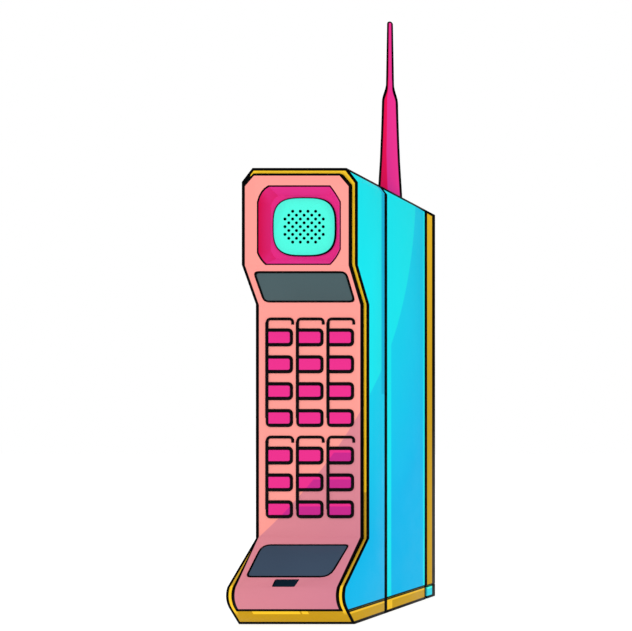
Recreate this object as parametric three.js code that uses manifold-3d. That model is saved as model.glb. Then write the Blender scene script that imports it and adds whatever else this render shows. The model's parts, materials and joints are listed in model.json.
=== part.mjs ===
// An early mobile "brick" telephone, built from the separate pieces it comes apart into.
//
// Frame: millimetres, X to the user's right of the face, Y from the face to the back, Z up.
// The origin is the middle of the flat base. The face is a folded surface: an upright earpiece
// section, a slant that carries the display, a set-back keypad section, and a flare that runs
// out to the mouthpiece lip. Front layers follow that line, so they are cut from "slabs" of it.

import * as THREE from 'three';
import { mergeVertices } from 'three/addons/utils/BufferGeometryUtils.js';
import Module from 'manifold-3d';

const wasm = await Module();
wasm.setup();

// ---------------------------------------------------------------------------------------
// Driving dimensions
// ---------------------------------------------------------------------------------------

const WIDTH = 49.6;
const HEIGHT = 195.6; // at the front edge of the top
const TOP_DROP = 2.7; // how far the top falls towards the back
const FRONT = -33.7; // plane of the earpiece section
const DEPTH = 78.3; // from the earpiece section to the back
const STEP = 10; // the keypad section lies this far behind the earpiece section
const LIP = 9.9; // the lip's upper edge stands this far before the earpiece section

const WALL = 2.4; // case wall
const SLIT = 0.1; // gap between pieces that meet face to face
const FIT = 0.3; // gap round a piece that sits in a cut opening

const HALF = WIDTH / 2;
const BACK = FRONT + DEPTH;
const PAD_PLANE = FRONT + STEP;

// Heights of the folds in the face line
const EAR_BOTTOM = 154;
const PAD_TOP = 138.4;
const PAD_BOTTOM = 35.5;
const LIP_TOP = 16.9;
const SLANT = Math.atan2(STEP, EAR_BOTTOM - PAD_TOP);
const FLARE = Math.atan2(STEP + LIP, PAD_BOTTOM - LIP_TOP);

// The chin: a curve below the lip, then a straight run back to the base
const CHIN_PULL = { out: 12.3, z: 11.8 };
const CHIN_END = { out: 7.6, z: 6.7 };
const BASE_OUT = 2;
const CHIN_SEGMENTS = 8;

// Chamfer on the two upper corners; it starts full at the face and runs out at the back
const CHAMFER = { x: 4.6, z: 6 };

// Front layers: margins from the outer edge, and depths measured back from the face line
const TRIM = { depth: 0.6, side: 1, end: 1.1 };
const BEZEL_DEPTH = 2;
const PANEL = { half: 22.2, bottom: 7.45, top: 191.7, raise: 2.1, back: 1.5, chamfer: { x: 3.9, z: 4.6 } };
const GASKET = { side: 0.2, end: 0.9 };

// Seams across the body, measured from the earpiece plane
const MID_SEAM = { from: FRONT + 24.65, to: FRONT + 27.15 };
const BACK_SEAM = { from: FRONT + 66.1, to: FRONT + 69.1 };
const BUMPER_TOP = 6.5;

// Keypad: three columns, a group of four rows and a group of three
const KEY = { width: 9.3, height: 4.9, proud: 0.4, travel: 1, radius: 0.85 };
const KEY_LINE = { side: 1.05, end: 1.25, bar: 1.25 }; // widths of the black lines round a key
const KEY_GAP = 0.15;
const PAD_X = 0.15; // the middle column
const KEY_FLANGE = 0.8; // how far the flange behind a key reaches past it, and its thickness
const KEY_PITCH = { x: 13.35, z: 11.75 };
const KEY_GROUPS = [
  {
    firstZ: 123.6,
    rows: [
      ['key_1', 'key_2', 'key_3'],
      ['key_4', 'key_5', 'key_6'],
      ['key_7', 'key_8', 'key_9'],
      ['key_star', 'key_0', 'key_hash'],
    ],
  },
  {
    firstZ: 71.95,
    rows: [
      ['key_recall', 'key_clear', 'key_send'],
      ['key_store', 'key_function', 'key_end'],
      ['key_power', 'key_lock', 'key_volume'],
    ],
  },
];
const HOOK = { above: 8.6, drop: 2.9, over: 0.5, radius: 2 };
const PAD_BACKING = { half: 20.8, bottom: 42.5, top: 134 }; // the plate and mat behind the keys
const MAT_THICKNESS = 1.4;
const BOARD_THICKNESS = 1.6;

// Earpiece: a funnel-shaped well; a corner's `bulge` bows its cut outwards
const EAR = {
  left: -16.75,
  right: 18.6,
  bottom: 153.8,
  top: 187.3,
  corners: {
    bl: { x: 3.5, z: 5, bulge: 0.25 },
    br: { x: 4.4, z: 6.5, bulge: 0.25 },
    tr: { x: 4.4, z: 6.8, bulge: 0.1 },
    tl: { x: 4.7, z: 6.9, bulge: 0.5 },
  },
};
const EAR_DEPTH = 4.3; // from the raised panel to the well's floor
const EAR_SLOPE = 3.2; // how far each wall leans in
const GRILLE = { x: 1.05, z: 170.7, width: 27.2, height: 25.3, proud: 0.5, power: 3.2 };
const GRILLE_ROWS = [4, 5, 6, 5, 6, 5, 6, 5, 4];
const GRILLE_HOLE = { radius: 0.7, pitchX: 3.3, pitchZ: 1.66 };

// Display on the slant, window and slot on the flare. The right side of the window and of the
// slot leans: its lower end is `lean` further in than its upper end.
const DISPLAY = {
  left: -18.75,
  right: 19.55,
  lean: 0,
  top: 150.3,
  bottom: 139.55,
  radii: { bl: 1.6, br: 1.6, tr: 1.6, tl: 1.6 },
  gasket: 0.7,
};
const WINDOW = {
  left: -18.5,
  right: 18.2,
  lean: 2.4,
  top: 32.9,
  bottom: 21.2,
  radii: { bl: 1.4, br: 3.4, tr: 1.2, tl: 3.2 },
  gasket: 0.55,
};
const SLOT = {
  left: -5.95,
  right: 3.75,
  lean: 0.7,
  top: 19.8,
  bottom: 17.3,
  radii: { bl: 0.3, br: 0.3, tr: 0.3, tl: 0.3 },
};

// Antenna, a screwed-in whip on the top of the rear case
const ANTENNA = { x: 13.1, y: FRONT + 54.6, seat: 194.5, tip: 281 };
const STUD = { radius: 2.5, length: 8.6 };
const SOCKET = { radius: 5, flange: 6.4, length: 9 };

// Battery pack and its bay
const BAY = { front: FRONT + 41.5, top: 176.6, bottom: 9 };
const PARTITION_FRONT = FRONT + 39;
const PACK = { front: FRONT + 43.5, back: FRONT + 75.4, half: 21.7, bottom: 9.4, top: 175.7, wall: 1.8 };
const CELL = { radius: 7.1, length: 50, spacing: 51.5, y: FRONT + 60.5 };
const LATCH = { top: 6.2, travel: 1.5, guides: [-14, 14] };
const LATCH_GUIDE = { half: 3, depth: 2.5, rise: 0.4 };
const LATCH_GRIPS = { half: 9, width: 0.7, depth: 0.6, heights: [1.6, 3.1, 4.6] };
const CONTACT = { x: 8, z: 40, thickness: 0.5, gap: 1.1 };
const CONTACT_PAD = { half: 3, halfHeight: 5 };
const CONTACT_BLADE = { half: 2.5, halfHeight: 4 };

// Case screws, driven from inside the battery bay
const SCREW = { shank: 1.25, head: 2.6, length: 26, headLength: 2, headBack: FRONT + 41.2 };
const SCREW_BOSS = 3;
const SCREW_POST = 3.4;
const SCREWS = [
  { name: 'case_screw_left', x: -18.5, z: 160 },
  { name: 'case_screw_right', x: 18.5, z: 160 },
];

const DISPLAY_BOARD = { width: 37, height: 11, thickness: 2.4, behind: 3 };
const LOGIC_BOARD = { bottom: 30, top: 150 };
const RF_BOARD = { half: 20.5, bottom: 22, top: 152 };
const RF_SHIELD = { half: 17, bottom: 52, top: 142, wall: 0.6 };

const FAR = 300; // larger than the phone, for cutting blocks
const SMALL_ARC = { curveSegments: 2 }; // enough for corners under 2 mm

// ---------------------------------------------------------------------------------------
// Finishes
// ---------------------------------------------------------------------------------------

function finish(color, roughness, metalness = 0) {
  return new THREE.MeshStandardMaterial({ color, roughness, metalness });
}

const PINK = 0xff9e95;
const GOLD = 0xf4c127;
const CYAN = 0x21e3ec;
const MAGENTA = 0xea2f8c;
const MINT = 0x50ffe4;
const BLACK = 0x0b0b0c;
const SMOKE = 0x495d61;
const NAVY = 0x3d4d61;
const DARK_SLOT = 0x082030;
const CHARCOAL = 0x1c1d20;
const SLEEVE_BLUE = 0x3f6fb5;
const BRASS = 0xc9a24a;
const STEEL = 0xb9bcc0;
const BOARD = 0x1f6b3f;

// ---------------------------------------------------------------------------------------
// Solids
// ---------------------------------------------------------------------------------------

// A closed three.js geometry as a solid that can be joined and cut.
function solid(geometry) {
  const bare = geometry.clone();
  bare.deleteAttribute('normal');
  bare.deleteAttribute('uv');
  const merged = mergeVertices(bare);
  const mesh = new wasm.Mesh({
    numProp: 3,
    vertProperties: merged.attributes.position.array,
    triVerts: Uint32Array.from(merged.index.array),
  });
  return new wasm.Manifold(mesh);
}

function geometryOf(body) {
  const mesh = body.getMesh();
  const geometry = new THREE.BufferGeometry();
  geometry.setAttribute('position', new THREE.BufferAttribute(mesh.vertProperties, 3));
  geometry.setIndex(new THREE.BufferAttribute(mesh.triVerts, 1));
  geometry.computeVertexNormals();
  return geometry;
}

function union(bodies) {
  return bodies.reduce((all, body) => all.add(body));
}

function extrude(shape, depth, options = {}) {
  return new THREE.ExtrudeGeometry(shape, { depth, bevelEnabled: false, curveSegments: 4, ...options });
}

const AXIS_X = new THREE.Vector3(1, 0, 0);
const AXIS_Y = new THREE.Vector3(0, 1, 0);
const AXIS_Z = new THREE.Vector3(0, 0, 1);

// A shape drawn in Y and Z, run across the full width from -half to half.
function acrossX(shape, half) {
  const geometry = extrude(shape, 2 * half);
  geometry.applyMatrix4(new THREE.Matrix4().makeBasis(AXIS_Y, AXIS_Z, AXIS_X));
  geometry.translate(-half, 0, 0);
  return solid(geometry);
}

// A shape drawn in X and Z, run back from y0 to y1.
function alongY(shape, y0, y1, options) {
  const geometry = extrude(shape, y1 - y0, options);
  geometry.applyMatrix4(new THREE.Matrix4().makeBasis(AXIS_X, AXIS_Z, AXIS_Y.clone().negate()));
  geometry.translate(0, y1, 0);
  return solid(geometry);
}

function block(x0, x1, y0, y1, z0, z1) {
  const geometry = new THREE.BoxGeometry(x1 - x0, y1 - y0, z1 - z0);
  geometry.translate((x0 + x1) / 2, (y0 + y1) / 2, (z0 + z1) / 2);
  return solid(geometry);
}

// A round bar along Y.
function rodY(x, z, radius, y0, y1, segments = 20) {
  const geometry = new THREE.CylinderGeometry(radius, radius, y1 - y0, segments);
  geometry.translate(x, (y0 + y1) / 2, z);
  return solid(geometry);
}

// A round bar along Z.
function rodZ(x, y, radius, z0, z1, segments = 24) {
  const geometry = new THREE.CylinderGeometry(radius, radius, z1 - z0, segments);
  geometry.rotateX(Math.PI / 2);
  geometry.translate(x, y, (z0 + z1) / 2);
  return solid(geometry);
}

function polygon(points) {
  return new THREE.Shape(points.map(([a, b]) => new THREE.Vector2(a, b)));
}

// A rectangle centred on (x, z) with its own radius at each corner.
function roundedRect(x, z, width, height, { tl = 0, tr = 0, br = 0, bl = 0 }) {
  const left = x - width / 2;
  const right = x + width / 2;
  const low = z - height / 2;
  const high = z + height / 2;
  const shape = new THREE.Shape();
  shape.moveTo(left + bl, low);
  shape.lineTo(right - br, low);
  if (br) shape.absarc(right - br, low + br, br, -Math.PI / 2, 0);
  shape.lineTo(right, high - tr);
  if (tr) shape.absarc(right - tr, high - tr, tr, 0, Math.PI / 2);
  shape.lineTo(left + tl, high);
  if (tl) shape.absarc(left + tl, high - tl, tl, Math.PI / 2, Math.PI);
  shape.lineTo(left, low + bl);
  if (bl) shape.absarc(left + bl, low + bl, bl, Math.PI, 1.5 * Math.PI);
  return shape;
}

// Four corners, anticlockwise from the lower left, each cut off at `cuts` along both of its
// sides. The cut is straight at bulge 0 and bows out towards the corner as bulge nears 1.
function cutQuad(corners, cuts, bulges = [1, 1, 1, 1]) {
  const shape = new THREE.Shape();
  corners.forEach(([x, z], i) => {
    const [px, pz] = corners[(i + 3) % 4];
    const [nx, nz] = corners[(i + 1) % 4];
    const [before, after] = cuts[i];
    const p = before / Math.hypot(px - x, pz - z);
    const n = after / Math.hypot(nx - x, nz - z);
    const start = [x + p * (px - x), z + p * (pz - z)];
    const end = [x + n * (nx - x), z + n * (nz - z)];
    const middle = [(start[0] + end[0]) / 2, (start[1] + end[1]) / 2];
    const pull = bulges[i];
    const control = [middle[0] + pull * (x - middle[0]), middle[1] + pull * (z - middle[1])];
    if (i === 0) shape.moveTo(...start);
    else shape.lineTo(...start);
    shape.quadraticCurveTo(...control, ...end);
  });
  shape.closePath();
  return shape;
}

// ---------------------------------------------------------------------------------------
// The body's outer form
// ---------------------------------------------------------------------------------------

function topAt(y) {
  return HEIGHT - (TOP_DROP * (y - FRONT)) / DEPTH;
}

// The face line from top to base. `raise` lifts it off the case; the lift dies out at the lip.
function frontLine(raise) {
  const slantShift = raise * Math.tan(SLANT / 2);
  const flareShift = raise * Math.tan(FLARE / 2);
  const chin = new THREE.QuadraticBezierCurve(
    new THREE.Vector2(FRONT - LIP, LIP_TOP),
    new THREE.Vector2(FRONT - CHIN_PULL.out, CHIN_PULL.z),
    new THREE.Vector2(FRONT - CHIN_END.out, CHIN_END.z),
  );
  return [
    [FRONT - raise, HEIGHT],
    [FRONT - raise, EAR_BOTTOM - slantShift],
    [PAD_PLANE - raise, PAD_TOP - slantShift],
    [PAD_PLANE - raise, PAD_BOTTOM + flareShift],
    ...chin.getPoints(CHIN_SEGMENTS).map((point) => [point.x, point.y]),
    [FRONT - BASE_OUT, 0],
  ];
}

// Everything between the face line lifted by `raise` and the plain line moved back by `back`.
function frontSlab(raise, back) {
  const inner = frontLine(0).map(([y, z]) => [y + back, z]);
  return acrossX(polygon([...frontLine(raise), ...inner.reverse()]), HALF);
}

// Everything in front of the face line moved back by `back`.
function beforeFace(back) {
  const line = frontLine(0).map(([y, z]) => [y + back, z]);
  return acrossX(polygon([[FRONT - FAR, HEIGHT], ...line, [FRONT - FAR, 0]]), HALF);
}

// The corner chamfer's plane, as a block that lies outside it.
function cornerCut(side, inset) {
  const a = new THREE.Vector3(side * (HALF - CHAMFER.x), FRONT, HEIGHT);
  const b = new THREE.Vector3(side * HALF, FRONT, HEIGHT - CHAMFER.z);
  const c = new THREE.Vector3(side * HALF, BACK, topAt(BACK));
  const normal = new THREE.Plane().setFromCoplanarPoints(a, b, c).normal;
  if (normal.z < 0) normal.negate();
  const geometry = new THREE.BoxGeometry(FAR, FAR, FAR);
  geometry.translate(0, 0, FAR / 2 - inset);
  geometry.applyQuaternion(new THREE.Quaternion().setFromUnitVectors(AXIS_Z, normal));
  geometry.translate(a.x, a.y, a.z);
  return solid(geometry);
}

function trimCorners(body, inset) {
  return body.subtract(cornerCut(-1, inset)).subtract(cornerCut(1, inset));
}

// The space inside the case walls between two depths, above a floor.
function innerSpace(y0, y1, floor, wall = WALL) {
  const shape = polygon([
    [y0, floor],
    [y1, floor],
    [y1, topAt(y1) - wall],
    [y0, topAt(y0) - wall],
  ]);
  return trimCorners(acrossX(shape, HALF - wall), wall);
}

// A front-view outline with its two upper corners chamfered.
function faceOutline(half, bottom, top, chamfer) {
  return polygon([
    [-half, bottom],
    [half, bottom],
    [half, top - chamfer.z],
    [half - chamfer.x, top],
    [-half + chamfer.x, top],
    [-half, top - chamfer.z],
  ]);
}

// The legs that a corner chamfer has once its outline is drawn in by `inset` all round.
function insetChamfer({ x, z }, inset) {
  const slope = Math.hypot(x, z);
  return {
    x: x - inset + (inset * (slope - x)) / z,
    z: z - inset + (inset * (slope - z)) / x,
  };
}

function facePrism(half, bottom, top, chamfer) {
  return alongY(faceOutline(half, bottom, top, chamfer), FRONT - FAR / 2, BACK);
}

const SIDE_VIEW = polygon([...frontLine(0), [BACK, 0], [BACK, topAt(BACK)]]);
const OUTER = trimCorners(acrossX(SIDE_VIEW, HALF), 0);

function outerBetween(y0, y1, z0 = 0, z1 = FAR) {
  return OUTER.intersect(block(-FAR, FAR, y0, y1, z0, z1));
}

// The outline drawn in from the body's outer edge
function drawnIn(side, end) {
  return facePrism(HALF - side, end, HEIGHT - end, insetChamfer(CHAMFER, side));
}

const trimHole = drawnIn(TRIM.side, TRIM.end);
const bezelEdge = drawnIn(TRIM.side + SLIT, TRIM.end + SLIT);

function panelPrism(grow, growEnds) {
  const { half, bottom, top, chamfer } = PANEL;
  return facePrism(half + grow, bottom - growEnds, top + growEnds, chamfer);
}

// ---------------------------------------------------------------------------------------
// Seats: places on a sloping stretch of the raised face
// ---------------------------------------------------------------------------------------

const [, earFold, padTopFold, padBottomFold, lipFold] = frontLine(PANEL.raise);

// A group at an item's middle between two folds. Its X is the phone's X, its Y runs up the slope
// and its Z points out of it. It also carries the item's height along the slope.
function seatFor(lower, upper, item) {
  const run = upper[0] - lower[0];
  const rise = upper[1] - lower[1];
  const z = (item.top + item.bottom) / 2;
  const group = new THREE.Group();
  group.position.set((item.left + item.right) / 2, lower[0] + ((z - lower[1]) / rise) * run, z);
  group.rotation.x = Math.atan2(rise, run);
  group.updateMatrix();
  group.userData.height = ((item.top - item.bottom) * Math.hypot(run, rise)) / rise;
  return group;
}

const displaySeat = seatFor(padTopFold, earFold, DISPLAY);
const windowSeat = seatFor(lipFold, padBottomFold, WINDOW);
const slotSeat = seatFor(lipFold, padBottomFold, SLOT);

// A rounded plate in a seat's own frame, from `below` under the face to `above` over it.
function plateInSeat(place, item, grow, below, above) {
  const halfWidth = (item.right - item.left) / 2 + grow;
  const halfHeight = place.userData.height / 2 + grow;
  const { bl, br, tr, tl } = item.radii;
  const corners = [
    [-halfWidth, -halfHeight],
    [halfWidth - item.lean, -halfHeight],
    [halfWidth, halfHeight],
    [-halfWidth, halfHeight],
  ];
  const cuts = [bl, br, tr, tl].map((radius) => [radius + grow, radius + grow]);
  const geometry = extrude(cutQuad(corners, cuts), below + above);
  geometry.translate(0, 0, -below);
  return geometry;
}

function openingAt(place, item, grow) {
  return solid(plateInSeat(place, item, grow, 10, 10).applyMatrix4(place.matrix));
}

// ---------------------------------------------------------------------------------------
// Scene graph
// ---------------------------------------------------------------------------------------

const phone = new THREE.Group();

function place(name, geometry, material, parent = phone) {
  const mesh = new THREE.Mesh(geometry, material);
  mesh.name = name;
  parent.add(mesh);
  return mesh;
}

function placeBody(name, body, material) {
  return place(name, geometryOf(body), material);
}

// ---------------------------------------------------------------------------------------
// Case shells, bumpers and seams
// ---------------------------------------------------------------------------------------

const frontRebate = beforeFace(TRIM.depth + SLIT).add(
  beforeFace(BEZEL_DEPTH + SLIT).intersect(trimHole),
);
const BODY_CORE = block(-HALF + 1, HALF - 1, FRONT, BACK, 0, HEIGHT); // keeps posts off the walls
const screwHoles = union(
  SCREWS.map(({ x, z }) => rodY(x, z, SCREW.shank + 0.2, FRONT + 12, BAY.front + 1)),
);

function frontCase() {
  const y1 = MID_SEAM.from - SLIT;
  const shell = outerBetween(FRONT - FAR, y1, BUMPER_TOP + SLIT)
    .subtract(innerSpace(FRONT - FAR / 2, y1 + 1, BUMPER_TOP + SLIT + WALL))
    .subtract(frontRebate);
  const bosses = SCREWS.map(({ x, z }) => rodY(x * 1.05, z, SCREW_BOSS, FRONT + 13.5, y1));
  const body = shell.add(union(bosses).intersect(BODY_CORE)).subtract(screwHoles);
  placeBody('front_case', body, finish(CYAN, 0.42));
}

function frontBumper() {
  const y1 = MID_SEAM.from - SLIT;
  const tray = outerBetween(FRONT - FAR, y1, 0, BUMPER_TOP)
    .subtract(frontRebate)
    .subtract(block(-HALF + WALL, HALF - WALL, FRONT + WALL, y1 - WALL, WALL, FAR));
  placeBody('front_bumper', tray, finish(GOLD, 0.4));
}

function seamRing(from, to) {
  return outerBetween(from, to).subtract(innerSpace(from - 1, to + 1, WALL));
}

function seamGasket() {
  placeBody('seam_gasket', seamRing(MID_SEAM.from, MID_SEAM.to), finish(BLACK, 0.7));
}

// The back seal is thinner beside the latch, so that the latch has room to be pressed in.
function backGasket() {
  const latchReach = BACK_SEAM.to - LATCH.travel - FIT;
  const latchRoom = block(-FAR, FAR, latchReach, FAR, -1, BUMPER_TOP + SLIT);
  const ring = seamRing(BACK_SEAM.from, BACK_SEAM.to - SLIT).subtract(latchRoom);
  placeBody('back_gasket', ring, finish(BLACK, 0.7));
}

function rearCase() {
  const y0 = MID_SEAM.to + SLIT;
  const y1 = BACK_SEAM.from - SLIT;
  const floor = BUMPER_TOP + SLIT + WALL;
  const electronics = innerSpace(y0 - 1, PARTITION_FRONT, floor);
  const antennaRoom = innerSpace(PARTITION_FRONT - 1, y1 - WALL, BAY.top + WALL);
  const bay = block(-HALF + WALL, HALF - WALL, BAY.front, y1 + 1, BAY.bottom, BAY.top);
  const posts = SCREWS.map(({ x, z }) => rodY(x, z, SCREW_POST, y0, BAY.front));
  const headFront = SCREW.headBack - SCREW.headLength - SLIT;
  const heads = SCREWS.map(({ x, z }) => rodY(x, z, SCREW.head + FIT, headFront, BAY.front + 1));
  const socketHole = rodZ(ANTENNA.x, ANTENNA.y, SOCKET.radius + FIT, HEIGHT - 12, HEIGHT + 5);
  const shell = outerBetween(y0, y1, BUMPER_TOP + SLIT)
    .subtract(electronics)
    .subtract(antennaRoom)
    .subtract(bay)
    .add(union(posts).intersect(BODY_CORE))
    .subtract(screwHoles)
    .subtract(union(heads))
    .subtract(socketHole);
  placeBody('rear_case', shell, finish(CYAN, 0.42));
}

function rearBumper() {
  const y0 = MID_SEAM.to + SLIT;
  const y1 = BACK_SEAM.from - SLIT;
  const tray = outerBetween(y0, y1, 0, BUMPER_TOP).subtract(
    block(-HALF + WALL, HALF - WALL, y0 + WALL, y1 - WALL, WALL, FAR),
  );
  placeBody('rear_bumper', tray, finish(GOLD, 0.4));
}

function caseScrew({ name, x, z }) {
  const { shank, head, length, headLength } = SCREW;
  const shape = new THREE.LatheGeometry(
    [
      [0, 0],
      [shank, 0],
      [shank, length - headLength],
      [head, length - headLength],
      [head, length - 0.6],
      [head - 0.5, length],
      [0, length],
    ].map(([radius, along]) => new THREE.Vector2(radius, along)),
    20,
  );
  const slot = new THREE.BoxGeometry(3 * head, 1.4, 0.7);
  slot.translate(0, length, 0);
  const mesh = placeBody(name, solid(shape).subtract(solid(slot)), finish(STEEL, 0.35, 1));
  mesh.position.set(x, SCREW.headBack - length, z);
}

// ---------------------------------------------------------------------------------------
// Face layers: trim, bezel, gasket, panel
// ---------------------------------------------------------------------------------------

function edgeTrim() {
  const ring = frontSlab(0, TRIM.depth).intersect(OUTER).subtract(trimHole);
  placeBody('edge_trim', ring, finish(BLACK, 0.65));
}

function faceBezel() {
  const hole = panelPrism(GASKET.side + SLIT * 2, GASKET.end + SLIT * 2);
  const ring = frontSlab(0, BEZEL_DEPTH).intersect(bezelEdge).subtract(hole);
  placeBody('face_bezel', ring, finish(GOLD, 0.38));
}

function faceGasket() {
  const outer = panelPrism(GASKET.side + SLIT, GASKET.end + SLIT);
  const ring = frontSlab(PANEL.raise, BEZEL_DEPTH).intersect(outer).subtract(panelPrism(SLIT, SLIT));
  placeBody('face_gasket', ring, finish(BLACK, 0.7));
}

function facePanel() {
  const plate = frontSlab(PANEL.raise, PANEL.back).intersect(panelPrism(0, 0));
  const ear = alongY(earOutline(-FIT), FRONT - 10, FRONT + 10);
  const cut = plate
    .subtract(ear)
    .subtract(openingAt(displaySeat, DISPLAY, DISPLAY.gasket + FIT))
    .subtract(openingAt(windowSeat, WINDOW, WINDOW.gasket + FIT))
    .subtract(openingAt(slotSeat, SLOT, FIT))
    .subtract(union(keyColumns().map((column) => comb(column, SLIT, FRONT - 10, FRONT + 20))));
  placeBody('face_panel', cut, finish(PINK, 0.45));
}

// ---------------------------------------------------------------------------------------
// Keypad
// ---------------------------------------------------------------------------------------

function keyColumns() {
  return KEY_GROUPS.flatMap(({ firstZ, rows }) =>
    [-1, 0, 1].map((side) => ({ x: PAD_X + side * KEY_PITCH.x, firstZ, count: rows.length })),
  );
}

const FRAME = {
  width: KEY.width + 2 * (KEY_GAP + KEY_LINE.side),
  height: KEY.height + 2 * (KEY_GAP + KEY_LINE.end),
  radius: KEY.radius + KEY_LINE.side,
  front: PAD_PLANE - PANEL.raise - 0.3,
  back: PAD_PLANE + PANEL.back + 0.2,
};

// The lines round one column of keys: a bar down the left, a frame at each key and a hook on top.
function comb({ x, firstZ, count }, grow, y0, y1) {
  const left = x - FRAME.width / 2;
  const lastZ = firstZ - (count - 1) * KEY_PITCH.z;
  const hookTop = firstZ + HOOK.above;
  const frames = Array.from({ length: count }, (_, row) => {
    const radius = FRAME.radius + grow;
    const corners = { tr: radius, br: radius, bl: row === count - 1 ? radius : 0 };
    const z = firstZ - row * KEY_PITCH.z;
    const outline = roundedRect(x, z, FRAME.width + 2 * grow, FRAME.height + 2 * grow, corners);
    return alongY(outline, y0, y1, SMALL_ARC);
  });
  const barLeft = left + KEY_LINE.side - KEY_LINE.bar;
  const bar = block(barLeft - grow, left + KEY_LINE.side, y0, y1, lastZ, hookTop - HOOK.radius);
  const hookWidth = FRAME.width + HOOK.over;
  const hookX = left + hookWidth / 2;
  const hookZ = hookTop - HOOK.drop / 2;
  const outer = roundedRect(hookX, hookZ, hookWidth + 2 * grow, HOOK.drop + 2 * grow, {
    tl: HOOK.radius + grow,
    tr: HOOK.radius + grow,
  });
  const innerRadius = HOOK.radius - KEY_LINE.end;
  const inner = roundedRect(
    hookX,
    hookZ - KEY_LINE.end,
    hookWidth - 2 * (KEY_LINE.side + grow),
    HOOK.drop - 2 * grow + 0.4,
    { tl: innerRadius, tr: innerRadius },
  );
  const hook = alongY(outer, y0, y1, SMALL_ARC).subtract(alongY(inner, y0 - 1, y1 + 1, SMALL_ARC));
  return union([bar, hook, ...frames]);
}

// A key's outline: square against the bar on its left, rounded on its right.
function keyOutline(x, z, grow) {
  const radii = { tr: KEY.radius + grow, br: KEY.radius + grow };
  return roundedRect(x, z, KEY.width + 2 * grow, KEY.height + 2 * grow, radii);
}

// The black keypad frame: six combs that rise through the face from one backing plate.
function keypadFrame() {
  const plateBack = FRAME.back + 1;
  const { half, bottom, top } = PAD_BACKING;
  const plate = block(-half, half, FRAME.back, plateBack, bottom, top);
  const combs = keyColumns().map((column) => comb(column, 0, FRAME.front, plateBack));
  const windows = keyColumns().flatMap(({ x, firstZ, count }) =>
    Array.from({ length: count }, (_, row) =>
      alongY(keyOutline(x, firstZ - row * KEY_PITCH.z, KEY_GAP), FRAME.front - 5, plateBack + 5, SMALL_ARC),
    ),
  );
  const body = plate.add(union(combs)).subtract(union(windows));
  placeBody('keypad_frame', body, finish(BLACK, 0.6));
}

// One key: a cap that stands through its window, with a flange behind that keeps it in.
function keys() {
  const capBack = FRAME.back + 1.2; // just behind the frame's backing plate
  const capFront = PAD_PLANE - PANEL.raise - KEY.proud;
  const capDepth = capBack - capFront;
  const cap = alongY(keyOutline(0, 0, 0), 0, capDepth, SMALL_ARC);
  const flangeX = KEY.width / 2 + KEY_FLANGE;
  const flangeZ = KEY.height / 2 + KEY_FLANGE;
  const flange = block(-flangeX, flangeX, capDepth, capDepth + KEY_FLANGE, -flangeZ, flangeZ);
  const geometry = geometryOf(cap.add(flange));
  KEY_GROUPS.forEach(({ firstZ, rows }) => {
    rows.forEach((names, row) => {
      names.forEach((name, column) => {
        const key = place(name, geometry, finish(MAGENTA, 0.4));
        key.position.set(PAD_X + (column - 1) * KEY_PITCH.x, capFront, firstZ - row * KEY_PITCH.z);
      });
    });
  });
}

// The rubber return mat, clear of the fully pressed keys.
function keyMat() {
  const front = FRAME.back + 1.2 + KEY_FLANGE + KEY.travel + 0.4;
  const { half, bottom, top } = PAD_BACKING;
  const mat = block(-half, half, front, front + MAT_THICKNESS, bottom, top);
  placeBody('key_mat', mat, finish(BLACK, 0.8));
}

function logicBoard() {
  const front = FRAME.back + 5;
  const { bottom, top } = LOGIC_BOARD;
  const board = block(-PAD_BACKING.half, PAD_BACKING.half, front, front + BOARD_THICKNESS, bottom, top);
  placeBody('logic_board', board, finish(BOARD, 0.5));
}

// ---------------------------------------------------------------------------------------
// Earpiece
// ---------------------------------------------------------------------------------------

// The well's outline, drawn in by `inset`; each corner's cut shrinks with it.
function earOutline(inset) {
  const { bl, br, tr, tl } = EAR.corners;
  const keep = 1 - inset / (3 * EAR_SLOPE);
  const corners = [
    [EAR.left + inset, EAR.bottom + inset],
    [EAR.right - inset, EAR.bottom + inset],
    [EAR.right - inset, EAR.top - inset],
    [EAR.left + inset, EAR.top - inset],
  ];
  const cuts = [
    [bl.z * keep, bl.x * keep],
    [br.x * keep, br.z * keep],
    [tr.z * keep, tr.x * keep],
    [tl.x * keep, tl.z * keep],
  ];
  return cutQuad(corners, cuts, [bl.bulge, br.bulge, tr.bulge, tl.bulge]);
}

// A solid between two outlines with the same count of points, one at y0 and one at y1.
function loftY(front, back, y0, y1) {
  const rings = [front.getPoints(4).slice(0, -1), back.getPoints(4).slice(0, -1)];
  const count = rings[0].length;
  const positions = [y0, y1].flatMap((depth, end) => rings[end].map(({ x, y }) => [x, depth, y]));
  const faces = [];
  for (let i = 0; i < count; i += 1) {
    const j = (i + 1) % count;
    faces.push(i, count + j, j, i, count + i, count + j);
  }
  for (let i = 1; i < count - 1; i += 1) {
    faces.push(0, i, i + 1, count, count + i + 1, count + i);
  }
  const geometry = new THREE.BufferGeometry();
  geometry.setAttribute('position', new THREE.Float32BufferAttribute(positions.flat(), 3));
  geometry.setIndex(faces);
  return solid(geometry);
}

// A rounded square: a superellipse, flatter than a circle and softer than a square.
function squircle(x, z, width, height) {
  const count = 36;
  const bend = 2 / GRILLE.power;
  const at = (value, half) => Math.sign(value) * Math.abs(value) ** bend * half;
  return polygon(
    Array.from({ length: count }, (_, i) => {
      const angle = (i / count) * 2 * Math.PI;
      return [x + at(Math.cos(angle), width / 2), z + at(Math.sin(angle), height / 2)];
    }),
  );
}

const EAR_FACE = FRONT - PANEL.raise;
const EAR_FLOOR = EAR_FACE + EAR_DEPTH;

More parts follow.
